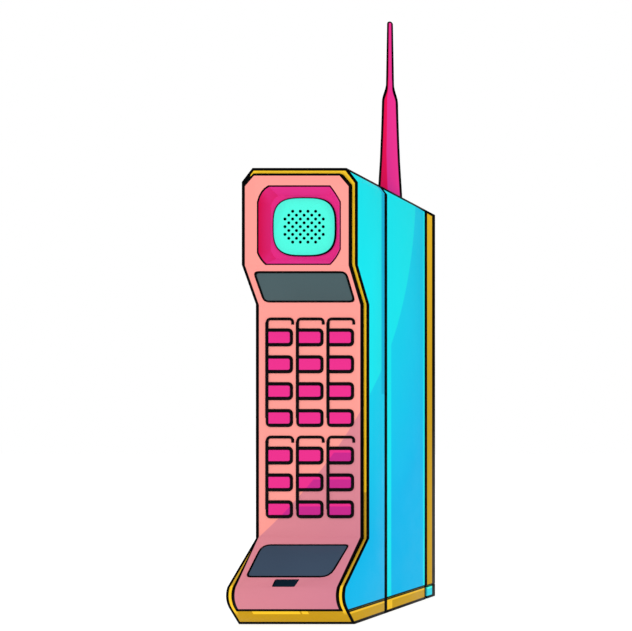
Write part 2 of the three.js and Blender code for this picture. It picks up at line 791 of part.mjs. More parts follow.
function earpieceWell() {
  const back = EAR_FLOOR + 1.4;
  const flange = alongY(earOutline(-1.2), back - 0.8, back);
  const body = alongY(earOutline(0), EAR_FACE, back).add(flange);
  const rim = 0.25; // the flat edge left round the funnel's mouth
  const lean = (EAR_SLOPE - rim) / EAR_DEPTH;
  const funnel = loftY(earOutline(rim - lean), earOutline(EAR_SLOPE), EAR_FACE - 1, EAR_FLOOR);
  const padHole = squircle(GRILLE.x, GRILLE.z, GRILLE.width + FIT, GRILLE.height + FIT);
  const well = body.subtract(funnel).subtract(alongY(padHole, EAR_FACE - 1, back + 1));
  placeBody('earpiece_well', well, finish(MAGENTA, 0.4));
}

function earpieceGrille() {
  const { x, z, width, height, proud } = GRILLE;
  const behind = EAR_FLOOR + 1.6;
  const pad = alongY(squircle(x, z, width, height), EAR_FLOOR - proud, behind + 0.8).add(
    alongY(squircle(x, z, width + 3, height + 3), behind, behind + 0.8),
  );
  const topRow = z + ((GRILLE_ROWS.length - 1) / 2) * GRILLE_HOLE.pitchZ;
  const holes = GRILLE_ROWS.flatMap((count, row) =>
    Array.from({ length: count }, (_, i) => {
      const holeX = x + (i - (count - 1) / 2) * GRILLE_HOLE.pitchX;
      const holeZ = topRow - row * GRILLE_HOLE.pitchZ;
      return rodY(holeX, holeZ, GRILLE_HOLE.radius, EAR_FACE, behind + 2, 8);
    }),
  );
  placeBody('earpiece_grille', pad.subtract(union(holes)), finish(MINT, 0.4));
}

// A shallow receiver capsule with a dished front, right behind the grille.
function earpieceSpeaker() {
  const front = EAR_FLOOR + 2.7;
  const profile = [
    [0, 2],
    [10.5, 0.4],
    [12.5, 0],
    [12.5, 4.5],
    [8, 6.5],
    [0, 6.5],
  ].map(([radius, along]) => new THREE.Vector2(radius, along));
  const speaker = place('earpiece_speaker', new THREE.LatheGeometry(profile, 28), finish(BLACK, 0.6));
  speaker.position.set(GRILLE.x, front, GRILLE.z);
}

// ---------------------------------------------------------------------------------------
// Display, window, microphone
// ---------------------------------------------------------------------------------------

function ringInSeat(item, seatPlace, below, above) {
  const outer = solid(plateInSeat(seatPlace, item, item.gasket, below, above));
  const inner = solid(plateInSeat(seatPlace, item, SLIT, below + 1, above + 1));
  return geometryOf(outer.subtract(inner));
}

function display() {
  phone.add(displaySeat);
  place('display_lens', plateInSeat(displaySeat, DISPLAY, 0, 1.8, 0), finish(SMOKE, 0.2), displaySeat);
  place('display_gasket', ringInSeat(DISPLAY, displaySeat, 2.4, 0.15), finish(BLACK, 0.7), displaySeat);
  const { width, height, thickness, behind } = DISPLAY_BOARD;
  const board = new THREE.BoxGeometry(width, height, thickness);
  const mesh = place('display_board', board, finish(BOARD, 0.5), displaySeat);
  mesh.position.z = -behind - thickness / 2;
}

function mouthpiece() {
  phone.add(windowSeat, slotSeat);
  place('mouth_window', plateInSeat(windowSeat, WINDOW, 0, 1.6, 0), finish(NAVY, 0.25), windowSeat);
  place('mouth_window_gasket', ringInSeat(WINDOW, windowSeat, 2, 0.1), finish(BLACK, 0.7), windowSeat);
  place('mic_slot', plateInSeat(slotSeat, SLOT, 0, 1.4, -0.2), finish(DARK_SLOT, 0.6), slotSeat);
  const capsule = new THREE.CylinderGeometry(4.6, 4.6, 5, 24);
  capsule.rotateX(Math.PI / 2);
  const microphone = place('microphone', capsule, finish(STEEL, 0.4, 1), slotSeat);
  microphone.position.set(0, 2.2, -5);
}

// ---------------------------------------------------------------------------------------
// Radio parts in the rear case
// ---------------------------------------------------------------------------------------

function radio() {
  const front = MID_SEAM.to + 2.5;
  const board = block(
    -RF_BOARD.half,
    RF_BOARD.half,
    front,
    front + BOARD_THICKNESS,
    RF_BOARD.bottom,
    RF_BOARD.top,
  );
  placeBody('rf_board', board, finish(BOARD, 0.5));
  const { half, bottom, top, wall } = RF_SHIELD;
  const canFront = front + BOARD_THICKNESS + SLIT;
  const canBack = PARTITION_FRONT - 0.6;
  const can = block(-half, half, canFront, canBack, bottom, top).subtract(
    block(-half + wall, half - wall, canFront - 1, canBack - wall, bottom + wall, top - wall),
  );
  placeBody('rf_shield', can, finish(STEEL, 0.35, 1));
}

// ---------------------------------------------------------------------------------------
// Antenna
// ---------------------------------------------------------------------------------------

function lathed(points, segments = 28) {
  const geometry = new THREE.LatheGeometry(
    points.map(([radius, z]) => new THREE.Vector2(radius, z)),
    segments,
  );
  geometry.rotateX(Math.PI / 2);
  return geometry;
}

// A tapered base sheath, a shoulder, and a thin whip with a round tip.
function antennaWhip() {
  const length = ANTENNA.tip - ANTENNA.seat;
  const tipRadius = 1.3;
  const tip = [75, 50, 25].map((degrees) => {
    const angle = THREE.MathUtils.degToRad(90 - degrees);
    return [tipRadius * Math.cos(angle), length - tipRadius + tipRadius * Math.sin(angle)];
  });
  const profile = [
    [0, 0],
    [5.4, 0],
    [4.1, 28],
    [3.5, 47.5],
    [1.75, 56],
    ...tip,
    [0, length],
  ];
  const whip = place('antenna_whip', lathed(profile), finish(MAGENTA, 0.45));
  whip.position.set(ANTENNA.x, ANTENNA.y, ANTENNA.seat);
}

function antennaStud() {
  const profile = [
    [0, -STUD.length],
    [STUD.radius - 0.5, -STUD.length],
    [STUD.radius, 0.5 - STUD.length],
    [STUD.radius, -SLIT],
    [0, -SLIT],
  ];
  const stud = place('antenna_stud', lathed(profile, 24), finish(BRASS, 0.3, 1));
  stud.position.set(ANTENNA.x, ANTENNA.y, ANTENNA.seat);
}

function antennaWasher() {
  const top = ANTENNA.seat - SLIT;
  const ring = rodZ(ANTENNA.x, ANTENNA.y, SOCKET.radius, top - 0.7, top).subtract(
    rodZ(ANTENNA.x, ANTENNA.y, STUD.radius + FIT, top - 2, top + 1),
  );
  placeBody('antenna_washer', ring, finish(STEEL, 0.35, 1));
}

function antennaSocket() {
  const top = topAt(ANTENNA.y) - 0.3;
  const body = rodZ(ANTENNA.x, ANTENNA.y, SOCKET.radius, top - SOCKET.length, top)
    .add(rodZ(ANTENNA.x, ANTENNA.y, SOCKET.flange, top - 5, top - 2.7))
    .subtract(rodZ(ANTENNA.x, ANTENNA.y, STUD.radius + FIT, top - SOCKET.length - 1, top + 1));
  placeBody('antenna_socket', body, finish(BRASS, 0.3, 1));
}

// ---------------------------------------------------------------------------------------
// Battery pack: gold back cover, black case, cells, contacts and release latch
// ---------------------------------------------------------------------------------------

function backCover() {
  const y0 = BACK_SEAM.to;
  const cavityBack = PACK.back + 0.2;
  const slotHalf = LATCH_GUIDE.half + 0.3;
  const slots = LATCH.guides.map((x) =>
    block(x - slotHalf, x + slotHalf, y0 - 1, BACK - WALL - 0.5, LATCH.top - 1, LATCH.top + WALL + 2),
  );
  const shell = outerBetween(y0, BACK + 1, LATCH.top + SLIT)
    .subtract(innerSpace(y0 - 1, cavityBack, LATCH.top + SLIT + WALL))
    .subtract(union(slots));
  placeBody('back_cover', shell, finish(GOLD, 0.4));
}

// A full-width release bar; two guides run in slots in the cover's floor.
function batteryLatch() {
  const y0 = BACK_SEAM.to;
  const guideBack = BACK - WALL - 1;
  const bar = outerBetween(y0, BACK + 1, 0, LATCH.top);
  const { half, depth, rise } = LATCH_GUIDE;
  const guides = LATCH.guides.map((x) =>
    block(x - half, x + half, guideBack - depth, guideBack, LATCH.top - 1, LATCH.top + WALL + rise),
  );
  const grip = LATCH_GRIPS;
  const grips = grip.heights.map((z) =>
    block(-grip.half, grip.half, BACK - grip.depth, BACK + 1, z - grip.width / 2, z + grip.width / 2),
  );
  placeBody('battery_latch', bar.add(union(guides)).subtract(union(grips)), finish(MINT, 0.4));
}

function batteryCase() {
  const { front, back, half, bottom, top, wall } = PACK;
  const box = block(-half, half, front, back, bottom, top).subtract(
    block(-half + wall, half - wall, front + wall, back + 1, bottom + wall, top - wall),
  );
  placeBody('battery_case', box, finish(CHARCOAL, 0.6));
}

// Six cells in two upright strings, held as one stack by their shrink sleeve.
function batteryCells() {
  const { radius, length, spacing, y } = CELL;
  const middle = (PACK.bottom + PACK.top) / 2;
  const strings = [-1, 1].map((side) => {
    const x = side * (radius - 0.1);
    const cells = [-1, 0, 1].map((row) => {
      const z = middle + row * spacing;
      return rodZ(x, y, radius, z - length / 2, z + length / 2, 20);
    });
    const reach = spacing + length / 2;
    const core = rodZ(x, y, radius / 2, middle - reach, middle + reach + 1, 12);
    return union([core, ...cells]);
  });
  placeBody('battery_cells', union(strings), finish(SLEEVE_BLUE, 0.45));
}

// Flat contacts on the pack, and spring blades in the bay that touch them.
function contactPlate(x, z, { half, halfHeight }, y0, y1) {
  return block(x - half, x + half, y0, y1, z - halfHeight, z + halfHeight);
}

function contacts() {
  const { x, z, thickness, gap } = CONTACT;
  const padBack = PACK.front - SLIT;
  const bladeFront = BAY.front + SLIT;
  [
    ['neg', -x],
    ['pos', x],
  ].forEach(([name, at]) => {
    const pad = contactPlate(at, z, CONTACT_PAD, padBack - thickness, padBack);
    const blade = contactPlate(at, z, CONTACT_BLADE, bladeFront, bladeFront + gap);
    placeBody(`battery_contact_${name}`, pad, finish(BRASS, 0.3, 1));
    placeBody(`bay_contact_${name}`, blade, finish(BRASS, 0.3, 1));
  });
}

// ---------------------------------------------------------------------------------------
// Assembly
// ---------------------------------------------------------------------------------------

frontCase();
frontBumper();
seamGasket();
rearCase();
rearBumper();
backGasket();
SCREWS.forEach(caseScrew);

edgeTrim();
faceBezel();
faceGasket();
facePanel();
keypadFrame();
keys();
keyMat();
logicBoard();

earpieceWell();
earpieceGrille();
earpieceSpeaker();
display();
mouthpiece();
radio();

antennaWhip();
antennaStud();
antennaWasher();
antennaSocket();

backCover();
batteryLatch();
batteryCase();
batteryCells();
contacts();

export default phone;
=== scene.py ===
"""Looks of the brick phone: finer visible pieces, procedural plastics, studio light and camera.

The phone is drawn in flat bright colours with black outlines. The light is even and white; the
painted shade, the outlines and the small painted highlight and shade strips are worked into the materials.
All lengths are metres in the CAD frame: X to the right of the face, Y to the back, Z up.
"""

import json
import math

import bmesh
import bpy
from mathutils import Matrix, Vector


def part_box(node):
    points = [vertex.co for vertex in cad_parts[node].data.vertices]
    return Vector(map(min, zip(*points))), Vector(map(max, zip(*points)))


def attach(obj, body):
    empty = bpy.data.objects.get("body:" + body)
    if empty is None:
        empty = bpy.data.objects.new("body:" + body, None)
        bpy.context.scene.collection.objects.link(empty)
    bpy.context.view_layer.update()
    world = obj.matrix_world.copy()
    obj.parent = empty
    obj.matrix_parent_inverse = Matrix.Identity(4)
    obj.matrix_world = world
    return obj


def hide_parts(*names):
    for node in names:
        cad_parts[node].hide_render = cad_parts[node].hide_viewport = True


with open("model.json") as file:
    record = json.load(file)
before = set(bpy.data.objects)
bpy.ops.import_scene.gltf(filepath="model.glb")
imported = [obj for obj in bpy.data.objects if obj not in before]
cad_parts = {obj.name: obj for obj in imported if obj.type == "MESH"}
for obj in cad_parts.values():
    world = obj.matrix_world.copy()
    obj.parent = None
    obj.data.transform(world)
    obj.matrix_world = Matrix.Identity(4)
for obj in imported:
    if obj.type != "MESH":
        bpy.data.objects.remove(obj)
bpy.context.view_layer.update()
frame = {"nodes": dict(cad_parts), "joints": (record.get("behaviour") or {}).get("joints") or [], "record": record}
scene = bpy.context.scene

MM = 0.001


# ---------------------------------------------------------------------------------------
# Places worked out from the frame
# ---------------------------------------------------------------------------------------

BODY_LOW, BODY_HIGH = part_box("edge_trim")
PANEL_LOW, PANEL_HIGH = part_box("face_panel")
WELL_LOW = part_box("earpiece_well")[0]
PAD_LOW, PAD_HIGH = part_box("earpiece_grille")
REAR_LOW, REAR_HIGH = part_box("rear_case")
COVER_LOW, COVER_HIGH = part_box("back_cover")
WHIP_LOW, WHIP_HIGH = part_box("antenna_whip")
FRONT_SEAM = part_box("front_case")[1].y
BUMPER_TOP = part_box("front_bumper")[1].z
FACE_Y = WELL_LOW.y
HEIGHT = BODY_HIGH.z
TOP_SLOPE = (REAR_HIGH.z - COVER_HIGH.z) / (COVER_LOW.y - REAR_LOW.y)

# Heights on the face
PAD_FOOT = 35.5 * MM
LIP_TOP = 17 * MM

# The lit zone is a ball; what lies outside it is in shade.
LIT_CENTRE = Vector((BODY_LOW.x, FACE_Y, HEIGHT)) + Vector((-151.7, -89.9, 10.6)) * MM
LIT_RADIUS = 250.3 * MM


# ---------------------------------------------------------------------------------------
# Colours
# ---------------------------------------------------------------------------------------

def linear(red, green, blue):
    """An sRGB colour given in 0-255 steps, as the linear colour that shaders use."""
    def channel(value):
        value /= 255
        return value / 12.92 if value <= 0.04045 else ((value + 0.055) / 1.055) ** 2.4
    return (channel(red), channel(green), channel(blue), 1.0)


def scaled(colour, factor):
    return tuple(min(1.0, part * factor) for part in colour[:3]) + (1.0,)


PINK = linear(255, 158, 149)
PINK_SHADE = linear(204, 124, 146)
CYAN = linear(14, 226, 235)
CYAN_SHADE = linear(3, 181, 232)
# painted shade strip along the front shell's rear edge, by the front seam
CYAN_SEAM_SHADE = linear(0, 180, 217)
GOLD = linear(244, 193, 39)
RIM_GOLD = scaled(GOLD, 1.15)  # the rim is a narrow piece between black ones, so it looks dimmer
RIM_GOLD_SHADE = scaled(linear(201, 157, 39), 1.1)
# lit gold of the cover's upper side; lower down the cover carries painted shade
GOLD_SIDE_LIT = linear(228, 179, 28)
GOLD_SHADE = linear(199, 154, 16)
MAGENTA = linear(234, 47, 140)
MAGENTA_SHADE = linear(199, 40, 140)
# painted shade: the earpiece funnel's left wall and the antenna's left side
CRIMSON_SHADE = linear(215, 3, 70)
ANTENNA_CRIMSON_SHADE = scaled(CRIMSON_SHADE, 1.3)
MINT = linear(80, 255, 228)
MINT_SHADE = linear(52, 214, 232)
INK = linear(2, 2, 3)
BLACK = linear(5, 5, 6)
WHITE = (1.0, 1.0, 1.0, 1.0)
SMOKE = linear(73, 93, 97)
NAVY = linear(61, 77, 97)
DEEP_NAVY = linear(8, 32, 48)
BOARD_GREEN = linear(30, 105, 62)
STEEL = linear(190, 193, 198)
BRASS = linear(214, 176, 92)
SLEEVE_BLUE = linear(63, 111, 181)


# ---------------------------------------------------------------------------------------
# Node graphs
# ---------------------------------------------------------------------------------------

class Graph:
    """A node tree, with short calls for the nodes used most."""

    def __init__(self, tree):
        self.tree = tree

    def node(self, kind, inputs=None, **settings):
        made = self.tree.nodes.new(kind)
        for key, value in settings.items():
            setattr(made, key, value)
        for key, value in (inputs or {}).items():
            self.feed(value, made.inputs[key])
        return made

    def feed(self, value, socket):
        if isinstance(value, bpy.types.NodeSocket):
            self.tree.links.new(value, socket)
        else:
            socket.default_value = value

    def math(self, operation, first, second=0.0):
        return self.node("ShaderNodeMath", {0: first, 1: second}, operation=operation).outputs[0]

    def times(self, first, second):
        return self.math("MULTIPLY", first, second)

    def either(self, first, second):
        return self.math("MAXIMUM", first, second)

    def negate(self, mask):
        return self.math("SUBTRACT", 1.0, mask)

    def remap(self, value, low, high, to_low=0.0, to_high=1.0):
        sockets = {"Value": value, "From Min": low, "From Max": high}
        sockets.update({"To Min": to_low, "To Max": to_high})
        return self.node("ShaderNodeMapRange", sockets).outputs["Result"]

    def above(self, value, level, soft=0.1 * MM):
        return self.remap(value, level - soft, level + soft)

    def below(self, value, level, soft=0.1 * MM):
        return self.remap(value, level - soft, level + soft, 1.0, 0.0)

    def between(self, value, low, high):
        return self.times(self.above(value, low), self.below(value, high))


class Shader(Graph):
    """A material with a Principled surface."""

    def __init__(self, name):
        self.material = bpy.data.materials.new(name)
        self.material.use_nodes = True
        super().__init__(self.material.node_tree)
        self.surface = self.tree.nodes["Principled BSDF"]
        self.coords = self.node("ShaderNodeTexCoord").outputs["Object"]
        self.x, self.y, self.z = self.node("ShaderNodeSeparateXYZ", {0: self.coords}).outputs

    def set(self, **inputs):
        for key, value in inputs.items():
            self.feed(value, self.surface.inputs[key.replace("_", " ").title().replace("Ior", "IOR")])

    def noise(self, scale, detail=3.0, roughness=0.5):
        sockets = {"Vector": self.coords, "Scale": scale, "Detail": detail, "Roughness": roughness}
        return self.node("ShaderNodeTexNoise", sockets).outputs["Fac"]

    def mix(self, factor, first, second, blend="MIX"):
        sockets = {0: factor, 6: first, 7: second}
        made = self.node("ShaderNodeMix", sockets, data_type="RGBA", blend_type=blend)
        return made.outputs[2]

    def facing(self, axis):
        """How squarely the surface faces along an axis, 0 to 1 either way."""
        normal = self.node("ShaderNodeNewGeometry").outputs["True Normal"]
        parts = self.node("ShaderNodeSeparateXYZ", {0: normal}).outputs
        return self.math("ABSOLUTE", parts["XYZ".index(axis)])

    def drifting(self, colour, amount):
        """The colour with slow, faint cloudiness."""
        low = (1 - amount,) * 3 + (1.0,)
        cloud = self.mix(self.remap(self.noise(38, 2), 0.35, 0.65), low, WHITE)
        return self.mix(1.0, colour, cloud, "MULTIPLY")

    def bump(self, height, strength, distance):
        sockets = {"Strength": strength, "Distance": distance, "Height": height}
        self.set(normal=self.node("ShaderNodeBump", sockets).outputs["Normal"])


def out_of_light(shader, start, fade):
    """0 in the lit ball, `start` just outside it, and 1 from `fade` further out."""
    sockets = {0: shader.coords, 1: LIT_CENTRE}
    reach = shader.node("ShaderNodeVectorMath", sockets, operation="DISTANCE").outputs["Value"]
    deepening = shader.remap(reach, LIT_RADIUS, LIT_RADIUS + fade, start, 1.0)
    return shader.times(shader.above(reach, LIT_RADIUS, 0.2 * MM), deepening)


# ---------------------------------------------------------------------------------------
# Finishes
# ---------------------------------------------------------------------------------------

def plastic(name, paint, roughness=0.5, specular=0.05, grain=0.1, drift=0.015):
    """Moulded plastic: cloudy colour, smudged sheen, fine grain. `paint` is a colour or a
    function that returns one for the shader it is given."""
    shader = Shader(name)
    colour = paint(shader) if callable(paint) else paint
    smudge = shader.remap(shader.noise(90, 5, 0.6), 0.35, 0.7, roughness * 0.85, roughness * 1.15)
    shader.set(
        base_color=shader.drifting(colour, drift),
        roughness=smudge,
        specular_ior_level=specular,
    )
    shader.bump(shader.noise(2600, 2), grain, 0.02 * MM)
    return shader.material


def rubber(name, colour, roughness=0.75):
    """Matt black rubber with a faint dusty bloom."""
    shader = Shader(name)
    bloom = shader.remap(shader.noise(160, 5, 0.65), 0.4, 0.75)
    sheen = shader.remap(shader.noise(300, 3), 0.3, 0.7, roughness - 0.1, roughness + 0.1)
    shader.set(
        base_color=shader.mix(bloom, colour, scaled(colour, 1.8)),
        roughness=sheen,
        specular_ior_level=0.03,
    )
    shader.bump(shader.noise(1900, 3), 0.3, 0.03 * MM)
    return shader.material


def lens(name, colour, roughness=0.12):
    """Smoked window: dark body, thin clear coat, faint wiping marks."""
    shader = Shader(name)
    depth = shader.remap(shader.noise(30, 2), 0.3, 0.7)
    wiped = shader.remap(shader.noise(140, 6, 0.7), 0.4, 0.75, roughness, roughness * 2.2)
    shader.set(
        base_color=shader.mix(depth, scaled(colour, 0.95), scaled(colour, 1.04)),
        roughness=wiped,
        specular_ior_level=0.05,
        coat_weight=0.05,
        coat_roughness=0.1,
    )
    shader.bump(shader.noise(60, 1), 0.05, 0.05 * MM)
    return shader.material


def metal(name, colour, roughness):
    """Bare metal with fine scratches and a little tarnish."""
    shader = Shader(name)
    tarnish = shader.remap(shader.noise(210, 5, 0.6), 0.45, 0.75)
    shader.set(
        base_color=shader.mix(tarnish, colour, scaled(colour, 0.72)),
        roughness=shader.remap(shader.noise(900, 2), 0.3, 0.7, roughness, roughness * 1.6),
        metallic=1.0,
    )
    shader.bump(shader.noise(3200, 2), 0.2, 0.01 * MM)
    return shader.material


def circuit_board(name):
    """Green laminate with copper runs under the solder mask."""
    shader = Shader(name)
    sockets = {"Vector": shader.coords, "Scale": 180, "Mortar Size": 0.03, "Color1": BOARD_GREEN}
    sockets.update({"Color2": scaled(BOARD_GREEN, 0.8), "Mortar": scaled(BOARD_GREEN, 1.9)})
    runs = shader.node("ShaderNodeTexBrick", sockets).outputs
    shader.set(base_color=runs["Color"], roughness=0.4)
    shader.bump(runs["Fac"], 0.3, 0.05 * MM)
    return shader.material


# --------------------------------------------------------------------------------------- Paint: where each colour has painted light and shade, painted highlight strips or outlines
# Paint: where each colour is lit, shaded, striped or outlined
# ---------------------------------------------------------------------------------------

# Widths of the painted black lines
TOP_LINE = 1.65 * MM
GROUND_LINE = 1.35 * MM
SHELL_FOOT_LINE = 0.75 * MM
COVER_FOOT_LINE = 0.65 * MM
JOINT_LINE = 0.65 * MM
REAR_BEAD = 3.7 * MM
PANEL_LINE = 0.95 * MM
PANEL_EDGE = 0.05 * MM

# Widths of the painted highlight strips and bands, and of the painted shade strip
SHELL_LIT_STRIP = 3.8 * MM
BACK_LIT_STRIP = 1.7 * MM
SEAM_SHADE_STRIP = 2.8 * MM
BUMPER_LIT_STRIP = 4.8 * MM
BUMPER_LIT_BAND = 1.5 * MM
LATCH_LIT_BAND = 1.6 * MM
SEAM_OVERLAP = 1 * MM  # carries the painted highlight strips behind the front seam, and the painted shade strip before it, past their shell's edge

# Lit lengths of the gold rim, its painted highlight streaks on the base and its black corner
LIT_RIM_FOOT = 55.8 * MM
CHIN_FOOT, CHIN_TOP = 5.5 * MM, 17.5 * MM
HIGHLIGHT_FOOT = 5 * MM
LONG_HIGHLIGHT = (-16 * MM, 4 * MM)
SHORT_HIGHLIGHT = (4.8 * MM, 7.5 * MM)
CORNER_RIGHT = -21 * MM
CORNER_HEIGHT = 8 * MM

# Facing limits: a surface squarer than this to an axis counts as facing it
LEVEL = 0.9
SQUARE_ON = 0.5
EDGE_ON = 0.3


def inked(shader, colour, *masks):
    """Black wherever any of the masks is 1."""
    mask = masks[0]
    for other in masks[1:]:
        mask = shader.either(mask, other)
    return shader.mix(mask, colour, INK)


def flank(shader):
    """1 on everything but level tops and undersides."""
    return shader.below(shader.facing("Z"), LEVEL, 0.02)


def top_line(shader):
    """A line down from the case's sloping top."""
    fall = shader.times(shader.math("SUBTRACT", shader.y, REAR_LOW.y), TOP_SLOPE)
    gap = shader.math("SUBTRACT", REAR_HIGH.z, shader.math("ADD", shader.z, fall))
    return shader.times(flank(shader), shader.below(gap, TOP_LINE))


def foot_line(shader, height):
    """A line along the bottom, up to a height."""
    return shader.times(flank(shader), shader.below(shader.z, height))


def head_line(shader, top):
    """A line along the top of a bumper or the latch: half of its joint with the shell above."""
    return shader.times(flank(shader), shader.above(shader.z, top - JOINT_LINE))


def rear_bead(shader):
    """A bead down the rear edge of the sides."""
    sides = shader.below(shader.facing("Y"), SQUARE_ON, 0.02)
    return shader.times(sides, shader.above(shader.y, COVER_HIGH.y - REAR_BEAD))


def pink_paint(shader):
    """Painted shade outside the lit ball; black walls, and a black line down both edges that grows as the panel
    sinks to the lip.
    """
    colour = shader.mix(out_of_light(shader, 0.7, 60 * MM), PINK, PINK_SHADE)
    walls = shader.below(shader.facing("Y"), EDGE_ON, 0.02)
    width = shader.remap(shader.z, LIP_TOP, PAD_FOOT, PANEL_LINE, 0.0)
    reach = shader.math("ADD", shader.math("ABSOLUTE", shader.x), width)
    return inked(shader, colour, walls, shader.above(reach, PANEL_HIGH.x - PANEL_EDGE))


def cyan_paint(shader):
    """Painted shade low down and towards the back, with painted highlight strips by both seams and a
    painted shade strip on the upper half of the front shell's rear edge."""
    shade = out_of_light(shader, 0.5, 36 * MM)
    # painted highlight strips by both seams lift the painted shade
    lit_behind_seam = shader.between(shader.y, REAR_LOW.y - SEAM_OVERLAP, REAR_LOW.y + SHELL_LIT_STRIP)
    lit_by_back_seam = shader.above(shader.y, REAR_HIGH.y - BACK_LIT_STRIP)
    shade = shader.times(shade, shader.negate(shader.either(lit_behind_seam, lit_by_back_seam)))
    # painted shade strip on the upper half of the front shell's rear edge
    by_seam = shader.between(shader.y, FRONT_SEAM - SEAM_SHADE_STRIP, FRONT_SEAM + SEAM_OVERLAP)
    strip = shader.times(by_seam, shader.above(shader.z, HEIGHT / 2 + 1.8 * MM))
    colour = shader.mix(strip, shader.mix(shade, CYAN, CYAN_SHADE), CYAN_SEAM_SHADE)
    foot = foot_line(shader, BUMPER_TOP + SHELL_FOOT_LINE)
    return inked(shader, colour, top_line(shader), foot)


def bezel_paint(shader):
    """Lit down to the lower keys and again on the chin's two rims; painted shade between and on the
    base, where two painted highlight streaks lie under the panel. The upper left corner is black."""
    upper = shader.above(shader.z, LIT_RIM_FOOT)
    chin = shader.times(
        shader.below(shader.z, CHIN_TOP),
        shader.above(shader.z, CHIN_FOOT, 1 * MM),
    )
    rim = shader.above(shader.math("ABSOLUTE", shader.x), PANEL_HIGH.x + 0.1 * MM)
    # painted highlight streaks on the base under the panel
    streaks = shader.times(
        shader.either(
            shader.between(shader.x, *LONG_HIGHLIGHT),
            shader.between(shader.x, *SHORT_HIGHLIGHT),
        ),
        shader.above(shader.z, HIGHLIGHT_FOOT),
    )
    base = shader.below(shader.z, PANEL_LOW.z)
    shaded = shader.mix(base, RIM_GOLD_SHADE, GOLD_SHADE)
    low_bright = shader.either(shader.times(chin, rim), shader.times(streaks, base))
    bright = shader.either(upper, low_bright)
    corner = shader.times(
        shader.below(shader.x, CORNER_RIGHT),
        shader.above(shader.z, HEIGHT - CORNER_HEIGHT),
    )
    return inked(shader, shader.mix(bright, shaded, RIM_GOLD), corner)


def bumper_paint(shader):
    """Painted shade, with a painted highlight band along the top and a painted highlight strip behind the front
    seam.
    """
    # painted highlight band and strip on the painted-shade gold
    band = shader.above(shader.z, BUMPER_TOP - BUMPER_LIT_BAND)
    lit_behind_seam = shader.between(shader.y, REAR_LOW.y - SEAM_OVERLAP, REAR_LOW.y + BUMPER_LIT_STRIP)
    colour = shader.mix(shader.either(band, lit_behind_seam), GOLD_SHADE, GOLD)
    return inked(shader, colour, head_line(shader, BUMPER_TOP), foot_line(shader, GROUND_LINE))


def cover_paint(shader):
    """Painted shade that deepens downwards, with a black bead round the rear edge."""
    # painted shade, deeper towards the bottom
    height = shader.remap(shader.z, HEIGHT * 0.54, HEIGHT * 0.98)
    colour = shader.mix(height, GOLD_SHADE, GOLD_SIDE_LIT)
    foot = foot_line(shader, COVER_LOW.z + COVER_FOOT_LINE)
    return inked(shader, colour, top_line(shader), foot, rear_bead(shader))


def latch_paint(shader):
    """Painted shade with a painted highlight band along the top, and the cover's bead carried on down."""
    # painted highlight band along the latch's top
    band = shader.above(shader.z, COVER_LOW.z - LATCH_LIT_BAND)
    colour = shader.mix(band, MINT_SHADE, MINT)
    head = head_line(shader, COVER_LOW.z)
    return inked(shader, colour, head, foot_line(shader, GROUND_LINE), rear_bead(shader))


def well_paint(shader):
    """A black line round the mouth; the funnel's left wall carries a painted crimson shade, deepest towards it."""
    normal = shader.node("ShaderNodeNewGeometry").outputs["True Normal"]
    rightwards = shader.node("ShaderNodeSeparateXYZ", {0: normal}).outputs[0]
    flange = 1.4 * MM
    fade = 3 * MM
    mouth = WELL_LOW.x + flange
    # painted crimson shade on the funnel's left wall
    crimson = shader.remap(shader.x, mouth, mouth + fade, 1.0, 0.35)
    left_wall = shader.above(rightwards, 0.25, 0.05)
    colour = shader.mix(shader.times(crimson, left_wall), MAGENTA, CRIMSON_SHADE)
    return inked(shader, colour, shader.below(shader.y, WELL_LOW.y + 0.15 * MM, 0.02 * MM))


def grille_paint(shader):
    """Mint, with the hole walls painted black as painted shade inside the holes, and a thin black line round the
    pad's edge.
    """
    centre = (PAD_LOW + PAD_HIGH) / 2
    hidden_rim = 1.5 * MM  # the pad's edge behind the well
    half = (PAD_HIGH - PAD_LOW) / 2 - Vector((1, 0, 1)) * hidden_rim
    power = 3.2
    line_start = 0.89
    across = shader.math("ABSOLUTE", shader.math("SUBTRACT", shader.x, centre.x))
    along = shader.math("ABSOLUTE", shader.math("SUBTRACT", shader.z, centre.z))
    across = shader.math("POWER", shader.math("DIVIDE", across, half.x), power)
    along = shader.math("POWER", shader.math("DIVIDE", along, half.z), power)
    edge = shader.above(shader.math("ADD", across, along), line_start, 0.02)
    # hole walls painted black: painted shade inside the holes
    return inked(shader, MINT, edge, shader.below(shader.facing("Y"), SQUARE_ON, 0.05))


def key_paint(shader):
    """Painted shade on the keys outside the lit ball, each keeping a lit band along its top edge."""
    place = shader.node("ShaderNodeTexCoord").outputs["Generated"]
    height = shader.node("ShaderNodeSeparateXYZ", {0: place}).outputs[2]
    bright_from = 0.7  # share of the key's height
    # painted shade on the key, except a lit band at its top
    low = shader.below(height, bright_from, 0.02)
    return shader.mix(shader.times(out_of_light(shader, 1.0, 1 * MM), low), MAGENTA, MAGENTA_SHADE)


